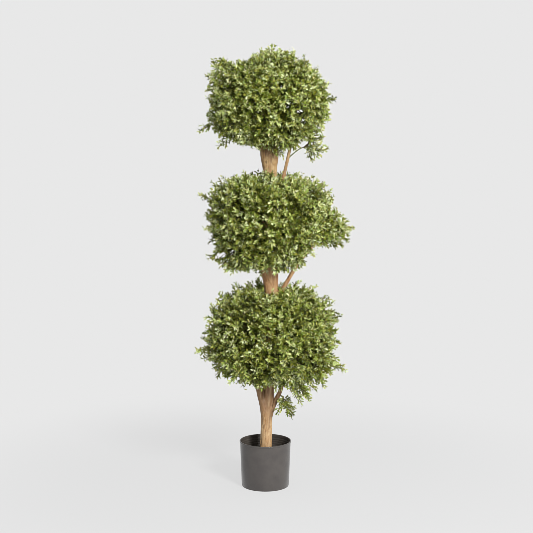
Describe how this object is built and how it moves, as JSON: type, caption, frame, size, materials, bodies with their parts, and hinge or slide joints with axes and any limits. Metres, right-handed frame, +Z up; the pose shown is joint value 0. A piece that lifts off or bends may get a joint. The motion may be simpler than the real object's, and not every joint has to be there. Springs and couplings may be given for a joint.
{
  "type": "artificial triple ball topiary in a pot",
  "caption": "Artificial topiary for a patio or hallway: clipped balls of small leaves stacked up a bare forked wooden trunk, standing in a plain round dark pot with a weighted fill.",
  "frame": {"origin": "middle of the pot's flat underside", "axes": "+Z up along the trunk, -Y to the front, +X to the right seen from the front"},
  "size_m": [0.5181, 0.4686, 1.4982],
  "materials": {
    "pot_plastic": "satin dark grey moulded plastic",
    "weighted_fill": "rough dark cement",
    "bare_wood": "bare peeled wood, honey tan with darker grooves",
    "leaf_green": "satin moulded leaves in mixed fresh greens"
  },
  "bodies": {
    "root": {"pot": "pot_plastic", "pot_fill": "weighted_fill", "trunk": "bare_wood", "lower_left_bough": "bare_wood", "lower_right_bough": "bare_wood", "lower_right_twig": "bare_wood", "middle_right_bough": "bare_wood", "upper_right_bough": "bare_wood", "upper_right_twig": "bare_wood", "lower_ball": "leaf_green", "middle_ball": "leaf_green", "upper_ball": "leaf_green", "lower_hanging_tuft": "leaf_green", "middle_right_tuft": "leaf_green", "upper_right_spray": "leaf_green"}
  },
  "joints": []
}
